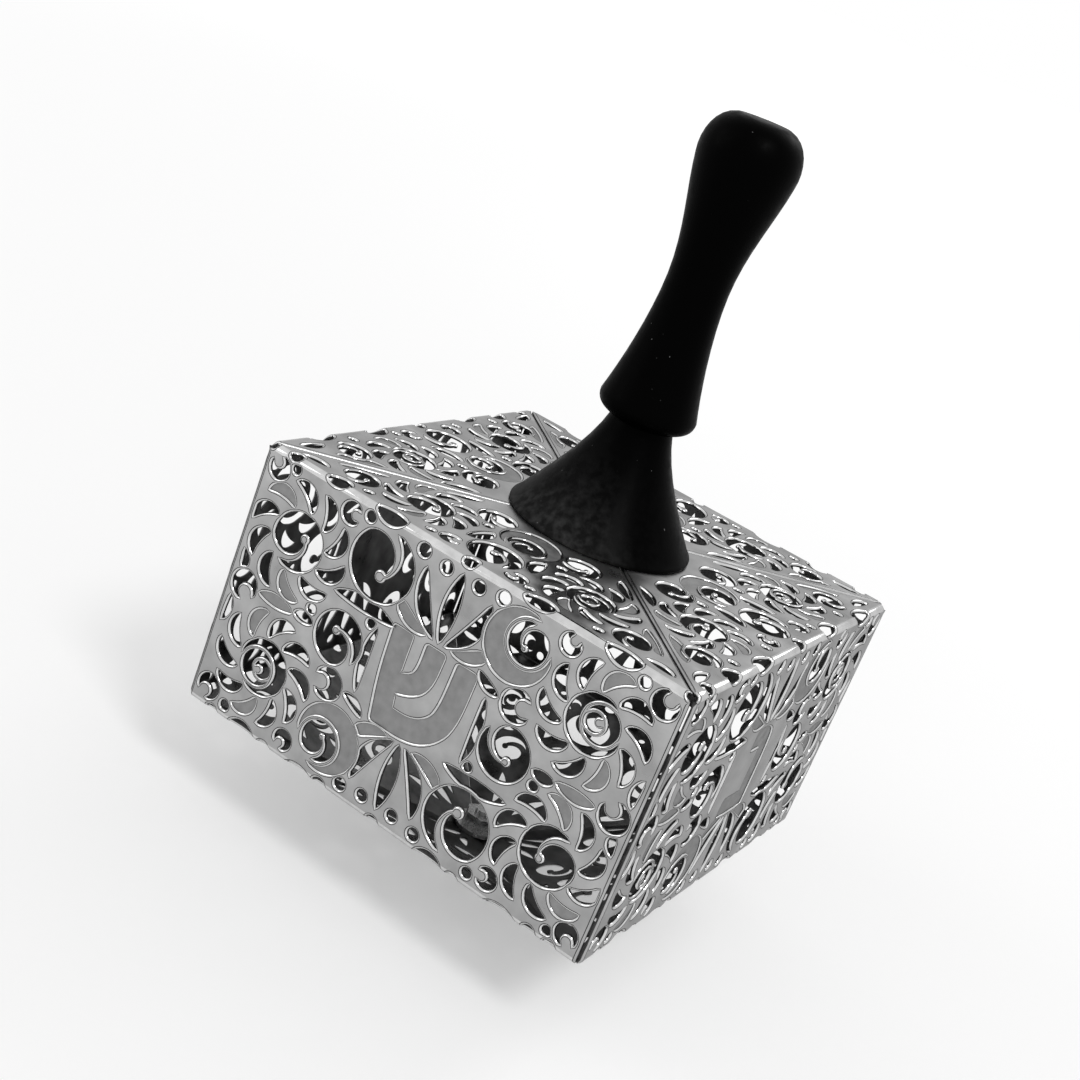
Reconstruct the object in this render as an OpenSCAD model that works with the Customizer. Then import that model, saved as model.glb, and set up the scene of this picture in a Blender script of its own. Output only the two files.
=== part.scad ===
// Spinning top with a square, pierced metal body, a shallow pyramid point and a turned black handle.
// The body is four folded lace blanks: each has a top flap, a wall and a bottom flap.
// Millimetres. The origin is the nose that it spins on, and +Z runs up the spin axis.

/* [Body] */
// Width of the body over opposite walls
body_w = 60; // [54:1:70]
// Height of a wall between its two folds
wall_h = 34.4; // [31:0.2:40]
// Height of the lower folds above the nose
point_h = 13.1; // [11:0.1:16]
// Thickness of the pierced sheet
sheet_t = 0.45; // [0.4:0.05:0.7]
// Inside radius of the folds
fold_r = 0.3; // [0.2:0.05:0.6]
// Gap between the cut edges of two blanks
seam_gap = 0.3; // [0.2:0.05:0.5]

/* [Lace] */
// Narrowest strip of metal between a leaf and a disc of ornament
web_w = 0.5; // [0.4:0.05:0.7]
// Width of the plain rim along a cut edge
rim_w = 0.7; // [0.5:0.05:1]
// Depth of the half-etched leaves
etch_d = 0.2; // [0.1:0.05:0.25]
// Radius of the relief hole where two folds meet at a corner
relief_r = 0.7; // [0.5:0.1:1]

/* [Handle] */
// Height of the handle above the body
handle_h = 52.6; // [48:0.2:60]
// Radius of the flared foot
foot_r = 11.9; // [10.5:0.1:13]
// Height of the flared foot
foot_h = 14.6; // [12:0.2:16]
// Radius of the neck above the foot
neck_r = 4; // [3.6:0.1:4.6]
// Radius of the skirt that overhangs the neck
skirt_r = 6.2; // [5.6:0.1:7]
// Radius of the waist that the fingers hold
waist_r = 3.85; // [3.4:0.05:4.4]
// Height of the waist
waist_h = 32.5; // [29:0.5:35]
// Radius of the knob
knob_r = 6.3; // [5.6:0.05:7]
// Height of the knob
knob_h = 5.8; // [5:0.1:7]
// Radius of the flat crown on the knob
crown_r = 3.3; // [2.6:0.1:4]

/* [Screw] */
// Radius of the screw's shank
screw_r = 1.6; // [1.4:0.1:1.9]
// Length of the screw's shank above its head
screw_l = 18; // [14:0.5:24]
// Radius of the screw's head
screw_head_r = 3.2; // [2.8:0.1:3.8]
// Height of the screw's head
screw_head_h = 2.1; // [1.6:0.1:2.6]
// Depth of the cross slot in the head
slot_d = 1.1; // [0.8:0.1:1.3]
// Width of the cross slot
slot_w = 0.7; // [0.5:0.1:0.9]
// Radius of the washer that clamps the top flaps
clamp_r = 9; // [8:0.5:10]
// Thickness of that washer
clamp_t = 0.8; // [0.6:0.1:1.2]

/* [Tip] */
// Radius of the rounded nose that it spins on
nose_r = 0.9; // [0.7:0.1:1.1]
// Height of the lace point above the nose
nose_drop = 0.7; // [0.5:0.05:0.9]
// Radius of the tip's head
tip_r = 2.8; // [2.4:0.1:3.2]
// Radius of the tip's shank
tip_shank_r = 1; // [0.8:0.1:1.2]
// Length of shank that stands proud of the nut
tip_proud = 0.6; // [0.3:0.1:1]
// Radius of the washer inside the point
tip_washer_r = 3.2; // [2.8:0.1:3.8]
// Thickness of that washer
tip_washer_t = 0.5; // [0.4:0.1:0.8]
// Width across the corners of the tip's nut
tip_nut_w = 4.6; // [4.2:0.1:5.2]
// Height of the tip's nut
tip_nut_h = 1.6; // [1.2:0.1:2]

/* [Hidden] */
$fn = 72;

// Overrun of every cut past the surface that it leaves
over = 1;
// Clearance round a shank in its hole, and under a seat
fit_gap = 0.05;
// Distance from a fold's end to the middle of the leaves that cross it
notch_shift = 0.06;

// Edge of the handle's foot and rounding of its skirt
foot_edge = 0.4;
skirt_edge = 2.2;
// Sweep of the handle's curves, out and up, as shares of the sizes beside them
foot_sweep_shares = [0.77, 0.29, 0.44, 0.65];
skirt_sweep_shares = [0.85, 0.62, 0.83];
grip_sweep_shares = [0.27, 0.88, 0.50];
knob_base_share = 0.97;
knob_sweep_shares = [1.04, 0.60, 0.90, 0.10];
curve_steps = 8;

// Colours of the finishes
sheet_colour = "silver";
wood_colour = [0.06, 0.06, 0.06];
steel_colour = "lightgray";

// Sizes of the folded body that follow from the driving dimensions
wall_out = body_w / 2;
wall_half = wall_out - sheet_t - seam_gap / 2;
body_top = point_h + wall_h;
fold_out_r = fold_r + sheet_t;
point_tilt = atan2(point_h - nose_drop, wall_out);
point_slant = wall_out / cos(point_tilt);
fold_turn = 90 - point_tilt;
fold_reach = fold_out_r * tan(fold_turn / 2);
// Distance from a flap's point to the line where its bend starts, and the ends of the wall's bends
top_fold_y = wall_out - fold_out_r;
bottom_fold_y = point_slant - fold_reach;
low_fold_z = point_h + fold_reach - fold_out_r * sin(fold_turn);

// Lace sizes: the ornament of a wall follows the tighter of its height and its width
wall_aspect_share = 0.573;
wall_unit = min(wall_h, body_w * wall_aspect_share);
wall_frame = [body_w, wall_h];
top_frame = [wall_out, wall_out];
bottom_frame = [wall_out, point_slant];
edge_inset = fold_out_r + rim_w / 4;

// Ornament on the left half of a wall, which a half turn carries to the right half. Every row
// starts with its place across and up, as shares of the wall, and its turn in degrees. Sizes
// are shares of the lace size.
// Whorls, scrolls, tendrils and commas: radius and hand
wall_whorl_shares = [[-0.362, 0.235, 10, 0.196, 1]];
wall_scroll_shares = [[-0.345, -0.245, 25, 0.192, -1]];
wall_tendril_shares = [
    [-0.168, 0.325, -50, 0.125, -1],
    [-0.205, 0.010, 95, 0.095, 1]
];
wall_comma_shares = [[-0.152, -0.335, 40, 0.124, 1]];
// Buds: radius
wall_bud_shares = [
    [-0.448, -0.012, 120, 0.053],
    [-0.454, 0.434, -60, 0.041],
    [-0.268, 0.430, 180, 0.038],
    [-0.247, -0.438, 60, 0.036],
    [-0.452, -0.428, 60, 0.046],
    [-0.193, -0.155, 10, 0.056]
];
// Leaves: length, width and bow
wall_leaf_shares = [
    [-0.472, 0.106, -84, 0.076, 0.026, 0.012],
    [-0.474, -0.172, 86, 0.10, 0.024, -0.010],
    [-0.317, 0.002, 0, 0.08, 0.036, 0.006],
    [-0.245, 0.160, 0, 0.25, 0.046, 0.012],
    [-0.131, -0.118, 90, 0.24, 0.028, 0.012],
    [-0.152, -0.150, -25, 0.10, 0.030, 0.010],
    [0.000, 0.200, 90, 0.25, 0.054, 0.004],
    [-0.016, 0.200, 117, 0.23, 0.048, 0.026],
    [0.016, 0.200, 63, 0.23, 0.048, -0.026]
];
wall_etched_leaf_shares = [
    [-0.408, -0.005, 0, 0.15, 0.040, 0.006],
    [-0.032, 0.196, 150, 0.17, 0.040, 0.022],
    [0.032, 0.196, 30, 0.17, 0.040, -0.022]
];
// Dots: radius
wall_dot_shares = [
    [-0.148, 0.125, 0, 0.015],
    [-0.038, 0.440, 0, 0.020],
    [0.038, 0.440, 0, 0.020],
    [-0.094, 0.452, 0, 0.022],
    [0.092, 0.452, 0, 0.022],
    [-0.226, 0.455, 0, 0.018],
    [-0.283, 0.050, 0, 0.016],
    [-0.416, 0.461, 0, 0.016],
    [-0.402, -0.457, 0, 0.018]
];
wall_lace_shares = [
    wall_whorl_shares, wall_scroll_shares, wall_tendril_shares, wall_comma_shares,
    wall_bud_shares, wall_leaf_shares, wall_etched_leaf_shares, wall_dot_shares
];

// Leaves that cross the folds: place along the wall, turn, length, width and bow
lower_notch_shares = [
    [-0.430, 0, 0.050, 0.040, 0.002],
    [-0.350, 5, 0.120, 0.058, 0.008],
    [-0.286, -4, 0.056, 0.044, -0.004],
    [-0.190, -4, 0.120, 0.056, -0.008],
    [-0.138, 6, 0.060, 0.046, 0.004],
    [0.000, 0, 0.050, 0.044, 0.002],
    [0.138, 5, 0.120, 0.058, 0.008],
    [0.200, 0, 0.048, 0.040, -0.003],
    [0.318, -5, 0.130, 0.062, -0.008],
    [0.382, 5, 0.052, 0.042, 0.004],
    [0.430, 0, 0.050, 0.040, 0.002]
];
upper_notch_shares = [
    [-0.430, 0, 0.046, 0.044, 0.002],
    [-0.322, 6, 0.090, 0.056, 0.008],
    [-0.188, -5, 0.126, 0.062, -0.008],
    [0.000, 0, 0.050, 0.048, 0.002],
    [0.160, 4, 0.120, 0.056, 0.008],
    [0.345, -5, 0.136, 0.064, -0.008]
];

// Ornament of a flap, whose point is at zero and whose fold is at minus one up
flap_whorl_shares = [[-0.385, -0.718, 40, 0.182, -1]];
flap_scroll_shares = [[0.385, -0.718, 140, 0.182, 1]];
flap_tendril_shares = [
    [0.000, -0.815, 90, 0.106, 1],
    [-0.640, -0.842, 20, 0.070, 1],
    [0.640, -0.842, 160, 0.070, -1],
    [-0.205, -0.490, 200, 0.076, -1],
    [0.205, -0.490, -20, 0.076, 1]
];
flap_comma_shares = [[0.000, -0.552, 90, 0.122, -1]];
flap_bud_shares = [
    [-0.155, -0.900, 200, 0.040],
    [0.155, -0.900, -20, 0.040]
];
flap_leaf_shares = [
    [-0.870, -0.935, 8, 0.12, 0.034, 0.010],
    [0.870, -0.935, 172, 0.12, 0.034, -0.010],
    [-0.342, -0.402, 226, 0.16, 0.034, 0.008],
    [0.342, -0.402, -46, 0.16, 0.034, -0.008],
    [-0.125, -0.640, 260, 0.15, 0.050, 0.012],
    [0.125, -0.640, -80, 0.15, 0.050, -0.012]
];
flap_etched_leaf_shares = [
    [-0.620, -0.690, 225, 0.20, 0.040, 0.010],
    [0.620, -0.690, -45, 0.20, 0.040, -0.010]
];
flap_dot_shares = [
    [-0.540, -0.925, 0, 0.016],
    [0.540, -0.925, 0, 0.016],
    [-0.178, -0.603, 0, 0.017],
    [0.178, -0.603, 0, 0.017],
    [-0.232, -0.926, 0, 0.015],
    [0.232, -0.926, 0, 0.015]
];
flap_lace_shares = [
    flap_whorl_shares, flap_scroll_shares, flap_tendril_shares, flap_comma_shares,
    flap_bud_shares, flap_leaf_shares, flap_etched_leaf_shares, flap_dot_shares
];
// Leaves near the point, on the bottom flaps alone
point_leaf_shares = [
    [0.000, -0.150, -90, 0.20, 0.050, 0.004],
    [-0.055, -0.190, 246, 0.20, 0.040, 0.014],
    [0.055, -0.190, -66, 0.20, 0.040, -0.014]
];

// Scroll: radius and shift of the hollow in each crescent, radius of the inner crescents
scroll_outer_shares = [0.8, 0.25];
scroll_middle_shares = [0.72, 0.36];
scroll_bead_shares = [0.62, 0.5];
scroll_size_shares = [1, 0.64, 0.32];
scroll_turns = [200, 160];
// Tendril: radius and place of the stem, of the hollow in it and of what trims its ends
stem_shares = [0.81, -0.42, 0];
stem_hollow_shares = [0.64, -0.36, 0.16];
stem_root_shares = [0.52, -0.52, 0.88];
stem_end_shares = [0.42, 0.1, 0.62];
stem_bead_shares = [0.19, 0.26, 0.16];
// Leaves round a whorl or scroll: how many, their place, length, width and bow, and the core inside them
whorl_count = 10;
whorl_sweep = 58;
whorl_leaf_shares = [0.6, 0.6, 0.2, 0.15];
whorl_core_share = 0.52;
// Comma: radius and shift of the hollow in its etched crescent, and the tendril in that hollow
comma_shares = [0.74, 0.32];
comma_core_share = 0.58;
// Bud: radius and shift of its hollow
bud_shares = [0.64, 0.5];

// Leaf between two arcs that share their tips, with its tail at zero, bowed to the left of its
// run, or to the right where bow is negative
module leaf(l, w, bow) {
    rise = abs(bow) + w / 2;
    fall = abs(bow) - w / 2;
    rise_r = (pow(l / 2, 2) + pow(rise, 2)) / (2 * rise);
    fall_r = (pow(l / 2, 2) + pow(fall, 2)) / (2 * abs(fall));
    mirror([0, bow < 0 ? 1 : 0])
        if (fall < 0)
            intersection() {
                translate([l / 2, rise - rise_r]) circle(rise_r);
                translate([l / 2, fall + fall_r]) circle(fall_r);
            }
        else
            difference() {
                translate([l / 2, rise - rise_r]) circle(rise_r);
                translate([l / 2, fall - fall_r]) circle(fall_r);
            }
}

// Crescent whose horns close round a hollow that is off its centre
module crescent(r, shares)
    difference() {
        circle(r);
        translate([-r * shares[1], 0]) circle(r * shares[0]);
    }

// Scroll: nested crescents, each turned on from the last
module scroll(r, hand) {
    middle_r = r * scroll_size_shares[1];
    crescent(r * scroll_size_shares[0], scroll_outer_shares);
    translate([-r * scroll_outer_shares[1], 0]) rotate(hand * scroll_turns[0]) {
        crescent(middle_r, scroll_middle_shares);
        translate([-middle_r * scroll_middle_shares[1], 0]) rotate(hand * scroll_turns[1])
            crescent(r * scroll_size_shares[2], scroll_bead_shares);
    }
}

// Disc inside a tendril, from its radius and place
module tendril_disc(r, hand, shares)
    translate([r * shares[1], hand * r * shares[2]]) circle(r * shares[0]);

// Tendril: a round opening that a hooked stem with a bead at its end reaches into
module tendril(r, hand)
    difference() {
        circle(r);
        difference() {
            tendril_disc(r, hand, stem_shares);
            tendril_disc(r, hand, stem_hollow_shares);
            tendril_disc(r, hand, stem_root_shares);
            tendril_disc(r, hand, stem_end_shares);
        }
        tendril_disc(r, hand, stem_bead_shares);
    }

// Leaves swept round a core: those from first on, stride apart
module whorl_leaves(r, hand, first, stride)
    for (i = [first : stride : whorl_count - 1])
        rotate(hand * i * 360 / whorl_count) translate([r * whorl_leaf_shares[0], 0])
            rotate(hand * whorl_sweep)
                leaf(r * whorl_leaf_shares[1], r * whorl_leaf_shares[2], -hand * r * whorl_leaf_shares[3]);

// Carries an ornament to its place and turn
module at(row, frame)
    translate([row[0] * frame[0], row[1] * frame[1]]) rotate(row[2]) children();

// Leaves of a panel, cut back to leave a strip of metal round every disc
module leaves(rows, lace, frame, unit, turns)
    difference() {
        for (row = rows)
            at(row, frame) leaf(row[3] * unit, row[4] * unit, row[5] * unit);
        for (turn = turns, kind = [0 : 4], row = lace[kind])
            rotate(turn) at(row, frame) circle(row[3] * unit + web_w);
    }

// Everything that is cut right through a panel
module openings(lace, frame, unit, turns) {
    for (kind = [0, 1], row = lace[kind])
        at(row, frame) {
            whorl_leaves(row[3] * unit, row[4], 0, 2);
            whorl_leaves(row[3] * unit, row[4], 1, 4);
        }
    for (row = lace[0])
        at(row, frame) tendril(row[3] * unit * whorl_core_share, row[4]);
    for (row = lace[1])
        at(row, frame) scroll(row[3] * unit * whorl_core_share, row[4]);
    for (row = lace[2])
        at(row, frame) tendril(row[3] * unit, row[4]);
    for (row = lace[3])
        at(row, frame) translate([-row[3] * unit * comma_shares[1], 0])
            tendril(row[3] * unit * comma_core_share, row[4]);
    for (row = lace[4])
        at(row, frame) crescent(row[3] * unit, bud_shares);
    for (row = lace[7])
        at(row, frame) circle(row[3] * unit);
    leaves(lace[5], lace, frame, unit, turns);
}

// Everything that is etched into the outer face of a panel
module etching(lace, frame, unit, turns) {
    for (kind = [0, 1], row = lace[kind])
        at(row, frame) whorl_leaves(row[3] * unit, row[4], 3, 4);
    for (row = lace[3])
        at(row, frame) crescent(row[3] * unit, comma_shares);
    leaves(lace[6], lace, frame, unit, turns);
}

// Keeps the children, and their half turn, inside the plain rim of a wall
module wall_field()
    intersection() {
        for (turn = [0, 180]) rotate(turn) children();
        square([2 * (wall_half - rim_w), wall_h - 2 * edge_inset], center = true);
    }
module wall_openings() wall_field() openings(wall_lace_shares, wall_frame, wall_unit, [0, 180]);
module wall_etching() wall_field() etching(wall_lace_shares, wall_frame, wall_unit, [0, 180]);

// Leaves across a fold that runs at the given height, turned over where hand is minus one
module notches(rows, up, hand)
    for (row = rows)
        translate([row[0] * body_w, up])
            rotate(hand * row[1])
                translate([-row[2] * wall_unit / 2, 0])
                    leaf(row[2] * wall_unit, row[3] * wall_unit, hand * row[4] * wall_unit);

// Plan of a wall's cut-outs, with the notches through both folds and the relief at its top corners
module wall_cuts() {
    wall_openings();
    notches(lower_notch_shares, low_fold_z - notch_shift - point_h - wall_h / 2, 1);
    notches(upper_notch_shares, wall_h / 2 + notch_shift, 1);
    for (side = [-1, 1])
        translate([side * wall_half, wall_h / 2]) circle(relief_r);
}

// Outline of a flap: its point is cut back by the seam, its fold lies at minus fold_y
module flap_outline(frame, fold_y, inset) {
    share = frame[0] / frame[1];
    cut = inset * sqrt(1 + pow(share, 2)) / share;
    polygon([[0, -cut], [(fold_y - cut) * share, -fold_y], [-(fold_y - cut) * share, -fold_y]]);
}
module flap_field(frame)
    intersection() {
        children();
        flap_outline(frame, frame[1] - edge_inset, seam_gap / 2 + rim_w);
    }
module flap_openings(frame) flap_field(frame) openings(flap_lace_shares, frame, frame[0], [0]);
module flap_etching(frame) flap_field(frame) etching(flap_lace_shares, frame, frame[0], [0]);

// Plan of a flap's cut-outs: its openings, the notches that its fold shares with the wall, the
// relief at its corners and the hole at its point
module flap_cuts(frame, fold_y, rows, hand, hole_r) {
    flap_openings(frame);
    notches(rows, -fold_y - notch_shift, hand);
    circle(hole_r);
    for (side = [-1, 1])
        translate([side * wall_half, -frame[1]]) circle(relief_r);
}

// Sheet bent to the fold radius, from one angle to the next round the bend's centre
module bend(from, to)
    intersection() {
        difference() {
            circle(fold_out_r);
            circle(fold_r);
        }
        polygon([
            [0, 0],
            for (turn = [from, (from + to) / 2, to])
                2 * fold_out_r * [cos(turn), sin(turn)]
        ]);
    }

// Section of a wall and its two bends, across and up, with the outer face at minus wall_out
module wall_section() {
    low = point_h + fold_reach;
    high = body_top - fold_out_r;
    translate([-wall_out, low]) square([sheet_t, high - low]);
    translate([fold_out_r - wall_out, high]) bend(90, 180);
    translate([fold_out_r - wall_out, low]) bend(180, 180 + fold_turn);
}

module wall() {
    color(sheet_colour)
        difference() {
            translate([-wall_half, 0, 0]) rotate([90, 0, 90])
                linear_extrude(2 * wall_half) wall_section();
            translate([0, fold_out_r - wall_out, point_h + wall_h / 2]) rotate([90, 0, 0])
                linear_extrude(fold_out_r + over) wall_cuts();
            translate([0, etch_d - wall_out, point_h + wall_h / 2]) rotate([90, 0, 0])
                linear_extrude(etch_d + over) wall_etching();
        }
}

module top_flap() {
    color(sheet_colour)
        translate([0, 0, body_top - sheet_t])
            difference() {
                linear_extrude(sheet_t)
                    difference() {
                        flap_outline(top_frame, top_fold_y, seam_gap / 2);
                        flap_cuts(top_frame, top_fold_y, upper_notch_shares, 1, screw_r + fit_gap);
                    }
                translate([0, 0, sheet_t - etch_d]) linear_extrude(etch_d + over)
                    flap_etching(top_frame);
            }
}

// The bottom flap leans up from the point to its fold, and is etched on its lower face
module bottom_flap() {
    hole_r = (tip_shank_r + fit_gap + sheet_t * sin(point_tilt)) / cos(point_tilt);
    color(sheet_colour)
        translate([0, 0, nose_drop]) rotate([-point_tilt, 0, 0])
            difference() {
                linear_extrude(sheet_t)
                    difference() {
                        flap_outline(bottom_frame, bottom_fold_y, seam_gap / 2);
                        flap_cuts(bottom_frame, bottom_fold_y, lower_notch_shares, -1, hole_r);
                        for (row = point_leaf_shares)
                            at(row, bottom_frame)
                                leaf(row[3] * wall_out, row[4] * wall_out, row[5] * wall_out);
                    }
                translate([0, 0, -over]) linear_extrude(over + etch_d)
                    flap_etching(bottom_frame);
            }
}

// Points along a cubic curve, without its last one
function curve(p) = [
    for (i = [0 : curve_steps - 1])
        let (t = i / curve_steps)
            pow(1 - t, 3) * p[0] + 3 * pow(1 - t, 2) * t * p[1]
                + 3 * (1 - t) * pow(t, 2) * p[2] + pow(t, 3) * p[3]
];

// Half profile of the handle, from its foot to its crown
function handle_profile() =
    let (
        lip = [foot_r - foot_edge, 2 * foot_edge],
        neck = [neck_r, foot_h],
        skirt = [skirt_r, foot_h + skirt_edge],
        waist = [waist_r, waist_h],
        knob = [knob_r * knob_base_share, handle_h - knob_h],
        crown = [crown_r, handle_h]
    )
    concat(
        [[0, 0]],
        curve([
            [foot_r - foot_edge, 0], [foot_r, 0],
            [foot_r + foot_edge / 2, foot_edge], lip
        ]),
        curve([
            lip, [foot_r * foot_sweep_shares[0], foot_h * foot_sweep_shares[1]],
            [foot_r * foot_sweep_shares[2], foot_h * foot_sweep_shares[3]], neck
        ]),
        curve([
            neck, [skirt_r - skirt_edge / 4, foot_h + skirt_edge / 4],
            [skirt_r, foot_h + skirt_edge / 2], skirt
        ]),
        curve([
            skirt, [skirt_r * skirt_sweep_shares[0], waist_h * skirt_sweep_shares[1]],
            [waist_r, waist_h * skirt_sweep_shares[2]], waist
        ]),
        curve([
            waist, [waist_r, waist_h + (handle_h - waist_h) * grip_sweep_shares[0]],
            [knob_r * grip_sweep_shares[1], waist_h + (handle_h - waist_h) * grip_sweep_shares[2]],
            knob
        ]),
        curve([
            knob, [knob_r * knob_sweep_shares[0], handle_h - knob_h * knob_sweep_shares[1]],
            [knob_r * knob_sweep_shares[2], handle_h - knob_h * knob_sweep_shares[3]], crown
        ]),
        [crown, [0, handle_h]]
    );

module handle() {
    bore_h = screw_l - sheet_t - clamp_t + 2 * screw_r;
    color(wood_colour)
        translate([0, 0, body_top])
            difference() {
                rotate_extrude() polygon(handle_profile());
                translate([0, 0, -over]) cylinder(h = bore_h + over, r = screw_r + fit_gap);
            }
}

module clamp_washer() {
    color(steel_colour)
        translate([0, 0, body_top - sheet_t - clamp_t])
            difference() {
                cylinder(h = clamp_t, r = clamp_r);
                translate([0, 0, -over]) cylinder(h = clamp_t + 2 * over, r = screw_r + fit_gap);
            }
}

// Pan head below the washer, shank up through the flaps into the handle
module handle_screw() {
    head_top = body_top - sheet_t - clamp_t;
    dome_r = (pow(screw_head_r, 2) + pow(screw_head_h, 2)) / (2 * screw_head_h);
    color(steel_colour)
        translate([0, 0, head_top]) {
            cylinder(h = screw_l - screw_r, r = screw_r);
            translate([0, 0, screw_l - screw_r]) cylinder(h = screw_r, r1 = screw_r, r2 = 0);
            difference() {
                rotate_extrude()
                    intersection() {
                        translate([0, dome_r - screw_head_h]) circle(dome_r);
                        translate([0, -screw_head_h]) square([screw_head_r, screw_head_h]);
                    }
                for (turn = [0, 90])
                    rotate(turn)
                        translate([-screw_head_r / 2, -slot_w / 2, -screw_head_h - over])
                            cube([screw_head_r, slot_w, slot_d + over]);
            }
        }
}

// Heights where the tip's washer and nut lie on the inside of the bottom flaps
washer_z = nose_drop + sheet_t / cos(point_tilt) + tip_washer_r * tan(point_tilt);
nut_z = washer_z + tip_washer_t;

// Height of the point's seams at a distance from the axis
function seam_z(r) = nose_drop + r * tan(point_tilt) * cos(45) - fit_gap;

// Rounded nose under a head that seats on the seams, and a shank through the nut
module tip_point() {
    color(steel_colour)
        rotate_extrude()
            polygon(concat(
                curve([
                    [0, 0], [nose_r, 0], [nose_r, nose_drop / 2],
                    [tip_r, seam_z(tip_r) - nose_drop / 4]
                ]),
                [
                    [tip_r, seam_z(tip_r) - nose_drop / 4],
                    [tip_r, seam_z(tip_r)],
                    [tip_shank_r, seam_z(tip_shank_r)],
                    [tip_shank_r, nut_z + tip_nut_h + tip_proud],
                    [0, nut_z + tip_nut_h + tip_proud]
                ]
            ));
}

module tip_washer() {
    color(steel_colour)
        translate([0, 0, washer_z])
            difference() {
                cylinder(h = tip_washer_t, r = tip_washer_r);
                translate([0, 0, -over])
                    cylinder(h = tip_washer_t + 2 * over, r = tip_shank_r + fit_gap);
            }
}

module tip_nut() {
    color(steel_colour)
        translate([0, 0, nut_z])
            difference() {
                cylinder(h = tip_nut_h, r = tip_nut_w / 2, $fn = 6);
                translate([0, 0, -over])
                    cylinder(h = tip_nut_h + 2 * over, r = tip_shank_r + fit_gap);
            }
}

wall();  // wall_front
rotate(90) wall();  // wall_right
rotate(180) wall();  // wall_back
rotate(270) wall();  // wall_left
top_flap();  // top_flap_front
rotate(90) top_flap();  // top_flap_right
rotate(180) top_flap();  // top_flap_back
rotate(270) top_flap();  // top_flap_left
bottom_flap();  // bottom_flap_front
rotate(90) bottom_flap();  // bottom_flap_right
rotate(180) bottom_flap();  // bottom_flap_back
rotate(270) bottom_flap();  // bottom_flap_left
handle();
handle_screw();
clamp_washer();
tip_point();
tip_washer();
tip_nut();
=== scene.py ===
"""Looks of the lace dreidel: four folded blanks, a turned handle and steel hardware."""

import math

import bmesh
import bpy
import numpy as np
from mathutils import Matrix, Vector
from mathutils.geometry import delaunay_2d_cdt


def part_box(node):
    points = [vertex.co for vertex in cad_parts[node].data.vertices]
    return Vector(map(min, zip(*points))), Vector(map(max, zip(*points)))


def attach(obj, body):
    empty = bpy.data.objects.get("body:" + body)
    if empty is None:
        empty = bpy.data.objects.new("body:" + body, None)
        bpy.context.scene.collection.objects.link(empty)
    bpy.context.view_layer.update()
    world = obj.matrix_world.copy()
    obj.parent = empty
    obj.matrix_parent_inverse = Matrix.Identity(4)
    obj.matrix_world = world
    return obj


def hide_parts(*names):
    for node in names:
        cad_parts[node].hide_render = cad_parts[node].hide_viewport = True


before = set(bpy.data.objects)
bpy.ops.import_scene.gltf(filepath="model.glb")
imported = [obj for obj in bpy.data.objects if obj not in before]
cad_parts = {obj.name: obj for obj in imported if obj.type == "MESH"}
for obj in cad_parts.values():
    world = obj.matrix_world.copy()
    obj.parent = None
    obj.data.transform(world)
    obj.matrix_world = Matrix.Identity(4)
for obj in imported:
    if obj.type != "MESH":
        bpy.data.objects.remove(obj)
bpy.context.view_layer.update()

MM = 0.001
# Places nearer to each other than this are one place
TOLERANCE = 0.002 * MM
# Steps, in one tolerance, of the grid that a node's corners are joined on
GRID_STEPS = 20

SIDES = ("front", "right", "back", "left")
PARTS = ("wall", "top_flap", "bottom_flap")

# Sizes read from the frame
wall_low, wall_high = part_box("wall_front")
WALL_OUT = -wall_low.y
BODY_TOP = wall_high.z
FOLD_R = wall_high.y - wall_low.y
flap_low, flap_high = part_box("top_flap_front")
SHEET_T = flap_high.z - flap_low.z

# Share of its length by which the normal of an underside points down, at least
DOWN_SHARE = 0.5


def mesh_arrays(node):
    """Corner places and triangles of a CAD node."""
    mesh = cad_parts[node].data
    mesh.calc_loop_triangles()
    places = np.empty(len(mesh.vertices) * 3)
    mesh.vertices.foreach_get("co", places)
    triangles = np.empty(len(mesh.loop_triangles) * 3, dtype=np.int64)
    mesh.loop_triangles.foreach_get("vertices", triangles)
    return places.reshape(-1, 3), triangles.reshape(-1, 3)


def leaning_normal(node):
    """Direction of the flat face that covers most of a node's underside."""
    places, triangles = mesh_arrays(node)
    corners = places[triangles]
    normals = np.cross(corners[:, 1] - corners[:, 0], corners[:, 2] - corners[:, 0])
    down = normals[normals[:, 2] < -DOWN_SHARE * np.linalg.norm(normals, axis=1)]
    total = down.sum(axis=0)
    return total / np.linalg.norm(total)


under = leaning_normal("bottom_flap_front")
POINT_TILT = math.atan2(-under[1], -under[2])
FOLD_TURN = math.pi / 2 - POINT_TILT
# Where the axes of the upper and the lower fold lie, and the folds' lengths along the outer face
HIGH = BODY_TOP - FOLD_R
LOW = wall_low.z + FOLD_R * math.sin(FOLD_TURN)
FOLD_Y = FOLD_R - WALL_OUT
HIGH_ARC = FOLD_R * math.pi / 2
LOW_ARC = FOLD_R * FOLD_TURN
# Directions out of the bottom flap and along it to its tip, as (y, z)
LOW_OUT = np.array([-math.cos(FOLD_TURN), -math.sin(FOLD_TURN)])
LOW_ALONG = np.array([math.sin(FOLD_TURN), -math.cos(FOLD_TURN)])


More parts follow.
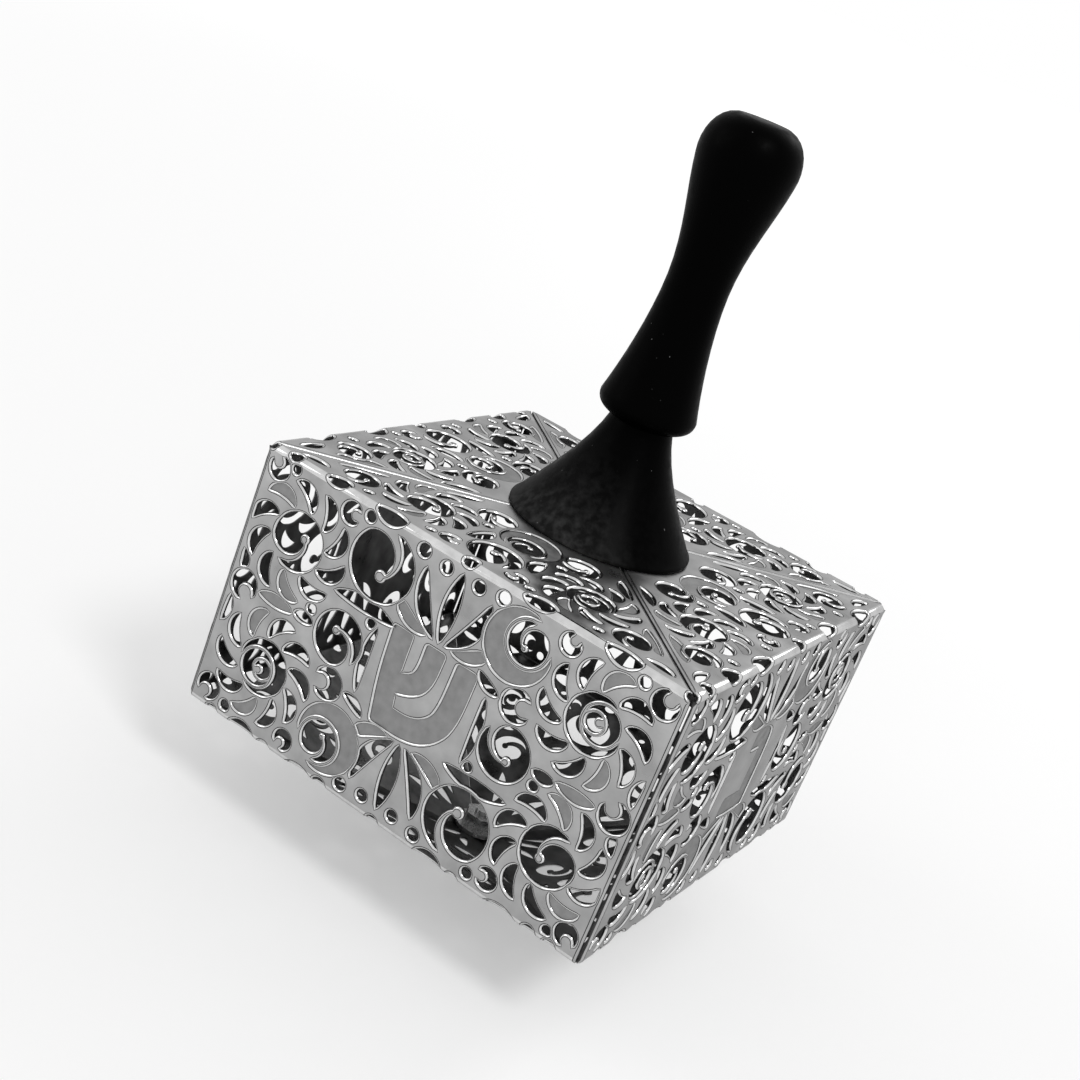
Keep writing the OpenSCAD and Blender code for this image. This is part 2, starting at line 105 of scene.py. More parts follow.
# The blank laid flat: u runs along the wall, v up it, and h stands out of the sheet
def folded(flat):
    """Places of (u, v, h) points once the blank is bent round its two folds."""
    u, v, h = flat.T
    y = -WALL_OUT - h
    z = v.copy()
    up = np.clip((v - HIGH) / FOLD_R, 0, math.pi / 2)
    past = np.maximum(v - HIGH - HIGH_ARC, 0)
    top = v > HIGH
    y[top] = (FOLD_Y - (FOLD_R + h) * np.cos(up) + past)[top]
    z[top] = (HIGH + (FOLD_R + h) * np.sin(up))[top]
    down = np.clip((LOW - v) / FOLD_R, 0, FOLD_TURN)
    past = np.maximum(LOW - v - LOW_ARC, 0)
    base = v < LOW
    y[base] = (FOLD_Y - (FOLD_R + h) * np.cos(down) + past * LOW_ALONG[0])[base]
    z[base] = (LOW - (FOLD_R + h) * np.sin(down) + past * LOW_ALONG[1])[base]
    return np.column_stack([u, y, z])


def unfolded(places, part):
    """The (u, v, h) of places on a CAD wall, top flap or bottom flap."""
    x, y, z = places.T
    if part == "top_flap":
        return np.column_stack([x, HIGH + HIGH_ARC + y - FOLD_Y, z - BODY_TOP])
    centre_z = np.where(z > (HIGH + LOW) / 2, HIGH, LOW)
    across, up = y - FOLD_Y, z - centre_z
    if part == "bottom_flap":
        out = across * LOW_OUT[0] + (z - LOW) * LOW_OUT[1] - FOLD_R
        along = across * LOW_ALONG[0] + (z - LOW) * LOW_ALONG[1]
        return np.column_stack([x, LOW - LOW_ARC - along, out])
    bent = (z > HIGH) | (z < LOW)
    turn = np.arctan2(np.abs(up), -across)
    v = np.where(bent, centre_z + np.sign(up) * FOLD_R * turn, z)
    h = np.where(bent, np.hypot(across, up) - FOLD_R, -y - WALL_OUT)
    return np.column_stack([x, v, h])


def rim_of(triangles):
    """Edges that only one triangle uses."""
    edges = np.sort(triangles[:, [0, 1, 1, 2, 2, 0]].reshape(-1, 2), axis=1)
    edges, uses = np.unique(edges, axis=0, return_counts=True)
    return edges[uses == 1]


def outlines_at(part, depth):
    """Rim segments, as (u, v) pairs, of a front node's surface that lies at a depth in the sheet."""
    places, triangles = mesh_arrays(part + "_front")
    flat = unfolded(places, part)
    flat, back = np.unique(np.round(flat / TOLERANCE * GRID_STEPS), axis=0, return_inverse=True)
    flat = flat * TOLERANCE / GRID_STEPS
    triangles = back.reshape(-1)[triangles]
    level = np.abs(flat[:, 2] + depth) < TOLERANCE
    return flat[rim_of(triangles[level[triangles].all(axis=1)])][:, :, :2]


# Points tested together, by their rays and by their discs
RAY_BATCH = 200
DISC_BATCH = 400


def inside(points, segments):
    """Whether each point lies inside closed segments, by counting the crossings of a level ray."""
    a, b = segments[:, 0], segments[:, 1]
    low, high = np.minimum(a[:, 1], b[:, 1]), np.maximum(a[:, 1], b[:, 1])
    held = np.zeros(len(points), dtype=bool)
    for band in np.array_split(np.argsort(points[:, 1]), 1 + len(points) // RAY_BATCH):
        x, y = points[band].T[:, :, None]
        near = (high > y.min()) & (low <= y.max())
        p, q = a[near].T, b[near].T
        crossing = (p[1] > y) != (q[1] > y)
        rise = np.where(crossing, q[1] - p[1], 1)
        right = p[0] + (y - p[1]) / rise * (q[0] - p[0]) > x
        held[band] = np.count_nonzero(crossing & right, axis=1) % 2
    return held


# The triangulation's kind that gives all triangles of the hull, and the gap, in mm, that joins corners
WHOLE_HULL = 0
CORNER_GAP = 1e-5


def triangulated(segments, keep):
    """Corners and triangles of a plane cut along segments, for the triangles whose middles are kept."""
    scale = 1 / MM
    points = [Vector(p * scale) for p in segments.reshape(-1, 2)]
    edges = [(2 * k, 2 * k + 1) for k in range(len(segments))]
    corners, _, faces, *_ = delaunay_2d_cdt(points, edges, [], WHOLE_HULL, CORNER_GAP)
    corners = np.array([c[:] for c in corners]) * MM
    faces = np.array(faces)
    return corners, faces[keep(corners[faces].mean(axis=1))]


def united(regions):
    """Rim segments of everything that lies in any of the regions."""
    corners, faces = triangulated(
        np.concatenate(regions),
        lambda middles: np.any([inside(middles, r) for r in regions], axis=0),
    )
    return corners[rim_of(faces)]


def loops_of(segments):
    """Closed chains of points from loose segments, each either way round."""
    keys = np.round(segments.reshape(-1, 2) / TOLERANCE).astype(np.int64)
    _, first, ids = np.unique(keys, axis=0, return_index=True, return_inverse=True)
    places = segments.reshape(-1, 2)[first]
    pairs = ids.reshape(-1, 2)
    ends = {}
    for a, b in pairs[pairs[:, 0] != pairs[:, 1]]:
        ends.setdefault(a, []).append(b)
        ends.setdefault(b, []).append(a)
    chains = []
    while ends:
        start = here = next(iter(ends))
        chain = []
        while here in ends:
            chain.append(here)
            after = ends[here].pop()
            if not ends[here]:
                del ends[here]
            ends[after].remove(here)
            if not ends[after]:
                del ends[after]
            here = after
            if here == start:
                break
        if len(chain) > 2:
            chains.append(places[chain])
    return chains


def area_of(chain):
    """Area inside a chain, negative where the chain runs clockwise."""
    x, y = chain.T
    return 0.5 * np.sum(x * np.roll(y, -1) - y * np.roll(x, -1))


def refined(chain, longest):
    """A chain whose steps are no longer than a length."""
    points = []
    for a, b in zip(chain, np.roll(chain, -1, axis=0)):
        steps = max(1, math.ceil(np.linalg.norm(b - a) / longest))
        points += [a + (b - a) * k / steps for k in range(steps)]
    return np.array(points)


# A mean direction shorter than this belongs to a hairpin turn
HAIRPIN = 1e-3


def normals_of(chain):
    """Unit directions to the left of a chain, at its points."""
    before = chain - np.roll(chain, 1, axis=0)
    after = np.roll(chain, -1, axis=0) - chain
    before /= np.linalg.norm(before, axis=1)[:, None]
    after /= np.linalg.norm(after, axis=1)[:, None]
    mean = before + after
    short = np.linalg.norm(mean, axis=1) < HAIRPIN
    mean[short] = after[short]
    mean /= np.linalg.norm(mean, axis=1)[:, None]
    return np.column_stack([-mean[:, 1], mean[:, 0]])


# A point counts as ahead past this share of its distance and this least length
AHEAD_SHARE = 0.02
AHEAD_LEAST = 1e-9


def free_radii(points, normals, others, most):
    """Radius of the largest disc that touches each point from the metal and holds no other point."""
    radii = np.full(len(points), most)
    for k in range(0, len(points), DISC_BATCH):
        part = slice(k, k + DISC_BATCH)
        away = others[None] - points[part][:, None]
        forward = np.einsum("ijk,ik->ij", away, normals[part])
        square = np.einsum("ijk,ijk->ij", away, away)
        clear = forward > AHEAD_SHARE * np.sqrt(square) + AHEAD_LEAST
        radius = np.where(clear, square / (2 * np.where(clear, forward, 1)), most)
        radii[part] = np.minimum(most, radius.min(axis=1))
    return radii


# Distances within which corners are welded and edges are closed up
WELD = 0.0008 * MM
SLIVER = 0.0002 * MM
# Ways that a flat face can look, out of the sheet or into the body
OUTWARD, INWARD = 1, -1


class Surface:
    """A mesh put together from strips and flat faces, with one finish for each face."""

    def __init__(self):
        self.points, self.faces, self.finishes = [], [], []
        self.count = 0

    def add_points(self, points):
        """Keeps points, and gives the number of the first of them."""
        self.points.append(points)
        self.count += len(points)
        return self.count - len(points)

    def add_faces(self, faces, finish):
        """Keeps faces, given as the numbers of their corners."""
        self.faces += [tuple(f) for f in faces]
        self.finishes += [finish] * len(faces)

    def strip(self, rows, finish):
        """Joins closed rows of as many points each, the first of them lowest."""
        size = len(rows[0])
        start = self.add_points(np.concatenate(rows))
        here = np.arange(size)
        after = np.roll(here, -1)
        for k in range(len(rows) - 1):
            low, high = start + k * size, start + (k + 1) * size
            faces = np.column_stack([low + here, low + after, high + after, high + here])
            self.add_faces(faces.tolist(), finish)

    def flat(self, corners, faces, height, finish, facing):
        """Adds triangles that lie at one height in the flat sheet."""
        start = self.add_points(np.column_stack([corners, np.full(len(corners), height)]))
        order = faces[:, ::facing] + start
        self.add_faces(order.tolist(), finish)

    def object(self, name, place, materials, sharp):
        """An object from all of it, whose points the function place has moved."""
        points = place(np.concatenate(self.points)).tolist()
        return smooth_piece(name, points, self.faces, self.finishes, materials, sharp)


def welded(mesh):
    """Joins the corners that strips and faces share."""
    shape = bmesh.new()
    shape.from_mesh(mesh)
    bmesh.ops.remove_doubles(shape, verts=shape.verts, dist=WELD)
    bmesh.ops.dissolve_degenerate(shape, edges=shape.edges, dist=SLIVER)
    shape.to_mesh(mesh)
    shape.free()


def smooth_piece(name, points, faces, finishes, materials, sharp):
    """A welded and smoothly shaded object, whose edges are sharp past an angle."""
    mesh = bpy.data.meshes.new(name)
    mesh.from_pydata(points, [], faces)
    mesh.polygons.foreach_set("material_index", finishes)
    for material in materials:
        mesh.materials.append(material)
    piece = bpy.data.objects.new(name, mesh)
    bpy.context.scene.collection.objects.link(piece)
    welded(mesh)
    mesh.shade_smooth()
    mesh.set_sharp_from_angle(angle=sharp)
    return piece


# Sheet: a rounded rim along every cut, a flat face inside it, and sunken etched floors
RIM_R = 0.34 * MM
# Turns of a rim's rows, from its cut to the face, and the rows between which it is polished and
# lighter, a painted highlight; the rows outside them are dark, painted shade
RIM_TURNS = np.radians([0, 18, 36, 54, 72, 90])
BRIGHT_FROM, BRIGHT_TO = 1, 4
# Shares of the free room that a rim takes in the face, and of the cut's depth
FREE_SHARE = 0.8
DROP_SHARE = 0.9
# Longest step along a cut, steps round a fold, and how far the lines along folds run past the blank
STEP = 0.5 * MM
BEND_STEPS = 5
LINE_PAST = 1 * MM
# Finishes, in the order of the sheet's metals
FACE, RIM, ETCHED, INSIDE, CUT = range(5)


def bend_lines(chains):
    """Lines along the bends, which keep flat faces true to the fold."""
    u = np.concatenate(chains)[:, 0]
    left, right = u.min() - LINE_PAST, u.max() + LINE_PAST
    levels = np.concatenate([
        HIGH + HIGH_ARC * np.linspace(0, 1, BEND_STEPS + 1),
        LOW - LOW_ARC * np.linspace(0, 1, BEND_STEPS + 1),
    ])
    return np.array([[(left, v), (right, v)] for v in levels])


def closed_segments(chains):
    """Segments round every chain."""
    return np.concatenate([np.stack([c, np.roll(c, -1, axis=0)], axis=1) for c in chains])


def add_rim(surface, chain, reach, depth, finish=RIM):
    """A cut's wall and the rounded rim above it, as wide as reach. Gives the rim's inner edge."""
    normals = normals_of(chain)
    drop = np.minimum(reach, DROP_SHARE * depth)
    rows = []
    for turn in RIM_TURNS:
        in_by = reach * (1 - math.cos(turn))
        rows.append(np.column_stack([
            chain + normals * in_by[:, None], -drop * (1 - math.sin(turn))]))
    floor = np.column_stack([chain, np.full(len(chain), -depth)])
    # The cut's wall and the rounding's rows next to the cut and the face get the dark cut metal,
    # painted shade
    surface.strip([floor] + rows[:BRIGHT_FROM + 1], CUT)
    # The middle rows of the rounding get the given finish, for openings the lighter rim metal, a
    # painted highlight
    surface.strip(rows[BRIGHT_FROM:BRIGHT_TO + 1], finish)
    surface.strip(rows[BRIGHT_TO:], CUT)
    return rows[-1][:, :2]


def reaches(chains, around):
    """How far the rim of each chain may move into the metal, clear of the rims around it."""
    return [FREE_SHARE * free_radii(c, normals_of(c), around, RIM_R / FREE_SHARE) for c in chains]


def in_a_bend(points):
    """Whether each (u, v) point lies in a fold."""
    v = points[:, 1]
    return ((v > HIGH) & (v < HIGH + HIGH_ARC)) | ((v < LOW) & (v > LOW - LOW_ARC))


def blank_surface(cuts, etched, cut_reach, etched_reach):
    """The flat blank. Every chain has its metal to the left, and the first cut is the outline."""
    surface = Surface()
    rims = [add_rim(surface, cuts[0], cut_reach[0], SHEET_T, FACE)]
    rims += [add_rim(surface, c, reach, SHEET_T) for c, reach in zip(cuts[1:], cut_reach[1:])]
    rims += [add_rim(surface, c, reach, ETCH_D) for c, reach in zip(etched, etched_reach)]
    lines = bend_lines(cuts)
    face = closed_segments(rims)
    corners, faces = triangulated(np.concatenate([face, lines]), lambda p: inside(p, face))
    bent = in_a_bend(corners[faces].mean(axis=1))
    surface.flat(corners, faces[~bent], 0, FACE, OUTWARD)
    # The folds get the lighter rim metal too, a painted highlight along each fold
    surface.flat(corners, faces[bent], 0, RIM, OUTWARD)
    hollow = closed_segments(cuts)
    corners, faces = triangulated(np.concatenate([hollow, lines]), lambda p: inside(p, hollow))
    # The inner face gets the dark inner metal, painted shade inside the body
    surface.flat(corners, faces, -SHEET_T, INSIDE, INWARD)
    floors = closed_segments(etched)
    corners, faces = triangulated(floors, lambda p: inside(p, floors))
    surface.flat(corners, faces, -ETCH_D, ETCHED, OUTWARD)
    return surface


def depths_of(node):
    """Depths below the outer face of a front node at which flat floors lie."""
    places, triangles = mesh_arrays(node)
    depth = np.round((places[:, 1] + WALL_OUT) / TOLERANCE) * TOLERANCE
    level = depth[triangles]
    return np.unique(level[(level == level[:, :1]).all(axis=1)])


def turned(chain, hole):
    """The chain, run clockwise where it is a hole and the other way where it is an outline."""
    return chain if (area_of(chain) < 0) == hole else chain[::-1]


# The etched floors lie between these shares of the sheet's thickness
ETCH_SHARES = (0.1, 0.9)
ETCH_D = [
    depth for depth in depths_of("wall_front")
    if ETCH_SHARES[0] * SHEET_T < depth < ETCH_SHARES[1] * SHEET_T
][0]
# A chain in the outer face whose middle is this near to an etched floor's is that floor's own
SAME_MIDDLE = 0.1 * MM


def lace_chains():
    """The front blank's cuts, with its outline first, and its etched floors."""
    etched = loops_of(np.concatenate([outlines_at(part, ETCH_D) for part in PARTS]))
    middles = np.array([c.mean(axis=0) for c in etched])
    cuts = [
        c for c in loops_of(united([outlines_at(part, 0) for part in PARTS]))
        if np.linalg.norm(middles - c.mean(axis=0), axis=1).min() > SAME_MIDDLE
    ]
    cuts.sort(key=lambda c: -abs(area_of(c)))
    cuts = [turned(refined(c, STEP), k > 0) for k, c in enumerate(cuts)]
    etched = [turned(refined(c, STEP), True) for c in etched]
    return cuts, etched


lace_cuts, lace_etched = lace_chains()
lace_around = np.concatenate(lace_cuts + lace_etched)
lace_cut_reach = reaches(lace_cuts, lace_around)
lace_etched_reach = reaches(lace_etched, lace_around)


# Game marks: one letter of the traditional four, sunk into the plain field of each wall
LETTER_H = 12.0 * MM
LETTER_MID = (HIGH + LOW) / 2
# Softened corners, in shares of the letter's height and of the edges beside them, with points on each
CORNER_SHARE = 0.035
EDGE_SHARE = 0.49
CORNER_POINTS = 6
# Corners that turn by less than 60 degrees become curves: the cosine of that turn
GENTLE = 0.5
# Outlines in shares of the letter's height, round its middle
LETTERS = {
    "shin": [
        [(-0.50, 0.50), (-0.27, 0.50), (-0.27, 0.08), (-0.22, -0.27), (-0.02, -0.27), (0.15, -0.19),
         (0.25, -0.04), (0.27, 0.50), (0.50, 0.50), (0.48, -0.10), (0.32, -0.36), (0.06, -0.50),
         (-0.40, -0.50), (-0.48, -0.02)],
        [(-0.10, 0.50), (0.12, 0.50), (0.10, 0.12), (-0.05, -0.05), (-0.36, -0.14), (-0.38, 0.06),
         (-0.16, 0.12), (-0.10, 0.22)],
    ],
    "nun": [
        [(-0.20, 0.50), (0.10, 0.50), (0.25, 0.36), (0.27, -0.50), (-0.34, -0.50), (-0.34, -0.28),
         (0.04, -0.28), (0.03, 0.27), (-0.20, 0.27)],
    ],
    "gimel": [
        [(-0.22, 0.50), (0.07, 0.50), (0.21, 0.36), (0.23, 0.02), (0.34, -0.50), (0.10, -0.50),
         (0.04, -0.25), (-0.10, -0.32), (-0.15, -0.50), (-0.38, -0.50), (-0.33, -0.24),
         (-0.18, -0.12), (0.00, -0.05), (0.00, 0.27), (-0.22, 0.27)],
    ],
    "he": [
        [(-0.47, 0.50), (0.31, 0.50), (0.46, 0.36), (0.46, -0.50), (0.22, -0.50), (0.23, 0.27),
         (-0.47, 0.27)],
        [(-0.45, 0.11), (-0.23, 0.11), (-0.21, -0.50), (-0.45, -0.50)],
    ],
}


def softened(outline, cut):
    """An outline with its sharp corners rounded within a distance, and its gentle ones as curves."""
    points = []
    for before, corner, after in zip(
            np.roll(outline, 1, axis=0), outline, np.roll(outline, -1, axis=0)):
        back, on = before - corner, after - corner
        sizes = np.linalg.norm(back), np.linalg.norm(on)
        gentle = back @ on < -GENTLE * sizes[0] * sizes[1]
        ease = [EDGE_SHARE * size if gentle else min(cut, EDGE_SHARE * size) for size in sizes]
        enter, leave = corner + back * ease[0] / sizes[0], corner + on * ease[1] / sizes[1]
        for t in np.linspace(0, 1, CORNER_POINTS):
            points.append((1 - t) ** 2 * enter + 2 * (1 - t) * t * corner + t ** 2 * leave)
    return np.array(points)


def letter_chains(name):
    """Chains round a letter's floor, in the flat blank."""
    regions = [
        closed_segments([softened(np.array(outline), CORNER_SHARE) * LETTER_H + (0, LETTER_MID)])
        for outline in LETTERS[name]
    ]
    return [turned(refined(c, STEP / 2), True) for c in loops_of(united(regions))]


# Materials: every look is worked out by nodes, in places fixed to the object
class Tree:
    """The nodes of a material or of the world, with short ways to add and link them."""

    def __init__(self, owner):
        owner.use_nodes = True
        self.nodes = owner.node_tree.nodes
        self.links = owner.node_tree.links

    def place(self):
        """Where a point lies on the object."""
        return self.nodes.new("ShaderNodeTexCoord").outputs["Object"]

    def noise(self, place, size, detail):
        """Noise whose cells are about one size across."""
        noise = self.nodes.new("ShaderNodeTexNoise")
        noise.inputs["Scale"].default_value = 1 / size
        noise.inputs["Detail"].default_value = detail
        self.links.new(place, noise.inputs["Vector"])
        return noise.outputs["Fac"]

    def ranged(self, value, low, high, at):
        """A value mapped from the range at to the one from low to high, and kept in it."""
        ramp = self.nodes.new("ShaderNodeMapRange")
        ramp.inputs["From Min"].default_value, ramp.inputs["From Max"].default_value = at
        ramp.inputs["To Min"].default_value = low
        ramp.inputs["To Max"].default_value = high
        self.links.new(value, ramp.inputs["Value"])
        return ramp.outputs["Result"]

    def combined(self, operation, first, second):
        """Two values put together by a maths operation."""
        maths = self.nodes.new("ShaderNodeMath")
        maths.operation = operation
        self.links.new(first, maths.inputs[0])
        self.links.new(second, maths.inputs[1])
        return maths.outputs["Value"]

    def coloured(self, value, shader, low, high):
        """Sets the shader's colour from low to high by a value, and past high where it is over 1."""
        mix = self.nodes.new("ShaderNodeMix")
        mix.data_type = "RGBA"
        mix.clamp_factor = False
        mix.inputs["A"].default_value = (*low, 1)
        mix.inputs["B"].default_value = (*high, 1)
        self.links.new(value, mix.inputs["Factor"])
        self.links.new(mix.outputs["Result"], shader.inputs["Base Color"])

    def bumped(self, value, shader, height):
        """Raises the shader's surface by a value, as high as height where it is 1."""
        bump = self.nodes.new("ShaderNodeBump")
        bump.inputs["Strength"].default_value = 1
        bump.inputs["Distance"].default_value = height
        self.links.new(value, bump.inputs["Height"])
        self.links.new(bump.outputs["Normal"], shader.inputs["Normal"])

    def seen_directly(self):
        """One for camera, glossy and transmission rays, and zero for the rest."""
        path = self.nodes.new("ShaderNodeLightPath")
        value = path.outputs["Is Camera Ray"]
        for kind in ("Is Glossy Ray", "Is Transmission Ray"):
            value = self.combined("MAXIMUM", value, path.outputs[kind])
        return value


WHITE = (1, 1, 1, 1)


def grey(value):
    """A colour without hue."""
    return (value, value, value)


def new_material(name, colour, metallic, roughness):
    """A material, its tree, and the shader that it ends in."""
    material = bpy.data.materials.new(name)
    tree = Tree(material)
    shader = tree.nodes["Principled BSDF"]
    shader.inputs["Base Color"].default_value = (*colour, 1)
    shader.inputs["Metallic"].default_value = metallic
    shader.inputs["Roughness"].default_value = roughness
    return material, tree, shader


# Share of a full mirror's light that metal throws back at a grazing angle
GRAZING = 0.6
# Values of the noise between which clouds go from dark to light, and the detail of clouds and grain
CLOUD_RANGE = (0.3, 0.7)
CLOUD_DETAIL = 4
GRAIN_DETAIL = 2


def sheet_material(name, dark, light, roughness, spread, cloud, cell, height):
    """Metal whose colour and sheen drift over clouds and whose surface has a fine grain."""
    material, tree, shader = new_material(name, grey(light), 1, roughness)
    shader.inputs["Specular Tint"].default_value = (*grey(GRAZING), 1)
    clouds = tree.noise(tree.place(), cloud, CLOUD_DETAIL)
    tree.coloured(tree.ranged(clouds, 0, 1, CLOUD_RANGE), shader, grey(dark), grey(light))
    sheen = tree.ranged(clouds, roughness - spread, roughness + spread, CLOUD_RANGE)
    tree.links.new(sheen, shader.inputs["Roughness"])
    tree.bumped(tree.noise(tree.place(), cell, GRAIN_DETAIL), shader, height)
    return material


def satin_face():
    """The outer face, brushed lightly."""
    return sheet_material(
        "satin_face", dark=0.31, light=0.47, roughness=0.32, spread=0.06,
        cloud=5 * MM, cell=0.12 * MM, height=0.002 * MM)


def polished_rim_highlight():
    """The rounded edges of the openings, and the folds: polished, and lighter than the face as a
    painted highlight.
    """
    return sheet_material(
        "polished_rim_highlight", dark=0.54, light=0.69, roughness=0.12, spread=0.04,
        cloud=1.5 * MM, cell=0.2 * MM, height=0.001 * MM)


def etched_floor():
    """The matte floors of etched leaves and letters."""
    return sheet_material(
        "etched_floor", dark=0.23, light=0.31, roughness=0.55, spread=0.06,
        cloud=1.2 * MM, cell=0.10 * MM, height=0.010 * MM)


def inner_face_shade():
    """The side of the sheet towards the inside of the body, dark as painted shade."""
    return sheet_material(
        "inner_face_shade", dark=0.04, light=0.15, roughness=0.34, spread=0.08,
        cloud=3 * MM, cell=0.12 * MM, height=0.002 * MM)


def cut_wall_shade():
    """The walls of the cuts, and the rims' rows next to the cut and the face, dark as painted shade."""
    return sheet_material(
        "cut_wall_shade", dark=0.03, light=0.07, roughness=0.40, spread=0.06,
        cloud=1.5 * MM, cell=0.10 * MM, height=0.004 * MM)


def plain_steel():
    """The screw, the pin, the washers and the nut."""
    return sheet_material(
        "plain_steel", dark=0.42, light=0.52, roughness=0.28, spread=0.06,
        cloud=1 * MM, cell=0.15 * MM, height=0.003 * MM)


# Lacquer: its mean and its dark colour, its colour where it is worn and carries a painted sheen, its
# roughness and its reflection
LACQUER_MEAN, LACQUER_DARK, LACQUER_SHEEN_AND_WEAR = grey(0.001), grey(0.0006), grey(0.040)
LACQUER_ROUGH = 0.36
LACQUER_ROUGH_RANGE = (0.30, 0.48)
LACQUER_SPECULAR = 0.012
# The fibres of the wood: how wide they are, their width as a share of their length, and their depth
FIBRE_W = 0.5 * MM
FIBRE_SHARE = 0.16
FIBRE_D = 0.012 * MM
FIBRE_DETAIL = 6
# A painted sheen on the foot, broken by scuffs, reaches up to this height, towards one side, between
# these distances from the axis
FOOT_TOP = BODY_TOP + 13 * MM
PAINTED_SHEEN_WAY = (-0.3, -0.95, 0)
PAINTED_SHEEN_FROM, PAINTED_SHEEN_TO = 4 * MM, 10 * MM
# Share of the painted sheen that is left on the other side
PAINTED_SHEEN_LEAST = 0.04
# Scuffs and specks of dust: their size and detail, where in the noise they lie, and how strong they are
SCUFF_SIZE, SCUFF_DETAIL, SCUFF_RANGE = 1.0 * MM, 12, (0.40, 0.74)
DUST_SIZE, DUST_DETAIL, DUST_RANGE = 0.5 * MM, 1, (0.79, 0.83)
SCUFF_LEAST, DUST_MOST = 0.25, 3


def black_lacquer():
    """Black lacquer over wood, with a painted sheen on one side of the foot."""
    material, tree, shader = new_material("black_lacquer", LACQUER_MEAN, 0, LACQUER_ROUGH)
    shader.inputs["Specular IOR Level"].default_value = LACQUER_SPECULAR
    place = tree.place()
    stretch = tree.nodes.new("ShaderNodeMapping")
    stretch.inputs["Scale"].default_value = (1, 1, FIBRE_SHARE)
    tree.links.new(place, stretch.inputs["Vector"])
    tree.bumped(tree.noise(stretch.outputs["Vector"], FIBRE_W, FIBRE_DETAIL), shader, FIBRE_D)
    scuffs = tree.noise(place, SCUFF_SIZE, SCUFF_DETAIL)
    sheen = tree.ranged(scuffs, *LACQUER_ROUGH_RANGE, CLOUD_RANGE)
    tree.links.new(sheen, shader.inputs["Roughness"])
    parts = tree.nodes.new("ShaderNodeSeparateXYZ")
    tree.links.new(place, parts.inputs["Vector"])
    facing = tree.nodes.new("ShaderNodeVectorMath")
    facing.operation = "DOT_PRODUCT"
    facing.inputs[1].default_value = PAINTED_SHEEN_WAY
    tree.links.new(place, facing.inputs[0])
    # A painted sheen on the foot's side towards the front, broken up by scuff noise, with specks of
    # dust added on top
    low = tree.ranged(parts.outputs["Z"], 1, 0, (BODY_TOP, FOOT_TOP))
    near = tree.ranged(facing.outputs["Value"], PAINTED_SHEEN_LEAST, 1, (PAINTED_SHEEN_FROM, PAINTED_SHEEN_TO))
    rubbed = tree.ranged(scuffs, SCUFF_LEAST, 1, SCUFF_RANGE)
    sheen_and_wear = tree.combined("MULTIPLY", tree.combined("MULTIPLY", low, near), rubbed)
    dust = tree.ranged(tree.noise(place, DUST_SIZE, DUST_DETAIL), 0, DUST_MOST, DUST_RANGE)
    tree.coloured(tree.combined("ADD", sheen_and_wear, dust), shader, LACQUER_DARK, LACQUER_SHEEN_AND_WEAR)
    return material


# Folded blanks
MARKS = {"front": "shin", "right": "nun", "back": "gimel", "left": "he"}
SHEET_SHARP = math.radians(50)


def add_blank(side, quarter, metals):
    """The blank of one side, turned round from the front by quarters."""
    letters = letter_chains(MARKS[side])
    surface = blank_surface(
        lace_cuts, lace_etched + letters, lace_cut_reach,
        lace_etched_reach + reaches(letters, np.concatenate([lace_around] + letters)))
    spin = np.array(Matrix.Rotation(quarter * math.pi / 2, 3, "Z"))
    blank = surface.object("blank_" + side, lambda flat: folded(flat) @ spin.T, metals, SHEET_SHARP)
    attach(blank, "root")
    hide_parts(*(part + "_" + side for part in PARTS))


sheet_metals = (satin_face(), polished_rim_highlight(), etched_floor(), inner_face_shade(), cut_wall_shade())
for quarter, side in enumerate(SIDES):
    add_blank(side, quarter, sheet_metals)

# Handle: the profile of its own node, turned round in fine steps
TURN_STEPS = 128
LATHE_SHARP = math.radians(60)


def profile_of(node):
    """Half profile of a turned node, from its foot to its crown, outside its bore."""
    places, _ = mesh_arrays(node)
    radius = np.round(np.hypot(places[:, 0], places[:, 1]) / TOLERANCE) * TOLERANCE
    height = np.round(places[:, 2] / TOLERANCE) * TOLERANCE
    bore = radius[height == height.min()].min()
    solid = radius > bore + TOLERANCE
    radius, height = radius[solid], height[solid]
    levels = np.unique(height)
    outer = np.array([radius[height == z].max() for z in levels])
    return outer, levels


def lathe(name, profile, material):
    """A turned piece from a half profile of (radius, height) rows that starts and ends on the axis."""
    angles = np.linspace(0, 2 * math.pi, TURN_STEPS, endpoint=False)
    radius, height = profile.T
    rings = np.stack([
        np.outer(radius, np.cos(angles)), np.outer(radius, np.sin(angles)),
        np.repeat(height[:, None], TURN_STEPS, axis=1)], axis=-1)
    here = np.arange(TURN_STEPS)
    after = np.roll(here, -1)
    faces = []
    for k in range(len(profile) - 1):
        low, high = k * TURN_STEPS, (k + 1) * TURN_STEPS
        faces += np.column_stack([low + here, low + after, high + after, high + here]).tolist()
    finishes = [0] * len(faces)
    return smooth_piece(
        name, rings.reshape(-1, 3).tolist(), faces, finishes, (material,), LATHE_SHARP)


def add_handle():
    """The handle, closed on its axis at both ends."""
    radius, height = profile_of("handle")
    outline = np.column_stack([radius, height])
    outline = np.concatenate([[(0, height[0])], outline, [(0, height[-1])]])
    handle = lathe("turned_handle", outline, black_lacquer())
    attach(handle, "root")
    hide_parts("handle")


def dress_hardware(metal):
    """Gives the hidden pieces one metal."""
    for node in ("handle_screw", "clamp_washer", "tip_point", "tip_washer", "tip_nut"):
        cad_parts[node].data.materials.clear()
        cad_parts[node].data.materials.append(metal)


add_handle()
dress_hardware(plain_steel())

# Floor and room: both look white, and light the object at a plain level
FLOOR_HALF = 40
FLOOR_DROP = 0.02 * MM
FLOOR_ALBEDO, FLOOR_ROUGH = 0.66, 0.9
